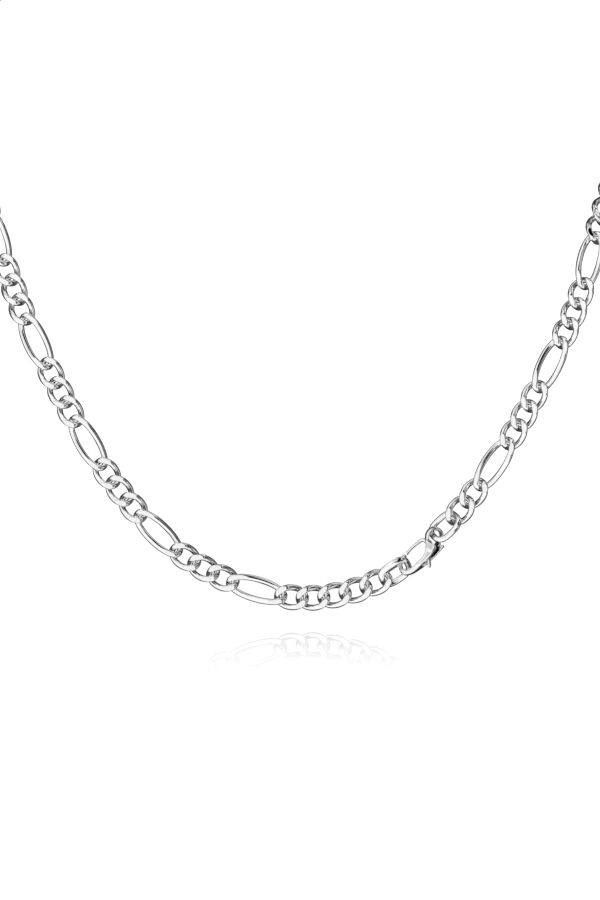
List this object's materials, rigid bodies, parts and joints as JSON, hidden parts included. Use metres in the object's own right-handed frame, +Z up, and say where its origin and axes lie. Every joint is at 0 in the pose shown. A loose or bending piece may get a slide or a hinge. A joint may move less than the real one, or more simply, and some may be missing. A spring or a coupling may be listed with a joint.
{
  "type": "figaro chain necklace",
  "caption": "Chain necklace hanging as worn: runs of short oval curb links between long ones, with plain rings beside a sprung lobster clasp at the front.",
  "frame": {"origin": "the middle of the back of the neck, on the middle of the wire, where the chain hangs from", "axes": "+Z up, -Y to the front, +X to the right of the picture"},
  "size_m": [0.1373, 0.0899, 0.1344],
  "materials": {
    "chain": "polished sterling silver",
    "ring": "polished sterling silver",
    "clasp": "cast and tumbled sterling silver",
    "lever": "cast and tumbled sterling silver",
    "pin": "flush riveted silver wire"
  },
  "bodies": {
    "necklace": {"chain_left": "chain", "chain_right": "chain", "end_link": "ring", "clasp_link": "ring", "clasp_body": "clasp", "clasp_pin": "pin"},
    "lever": {"clasp_lever": "lever"}
  },
  "joints": [
    {"name": "lever_pivot", "type": "hinge", "parent": "necklace", "child": "lever", "pos_m": [0.02581, -0.08608, -0.11897], "axis": [-0.3564, -0.9063, 0.2271], "range_deg": [0, 15], "stiffness_Nm_per_rad": 0.00002, "springref_deg": -34.38}
  ]
}
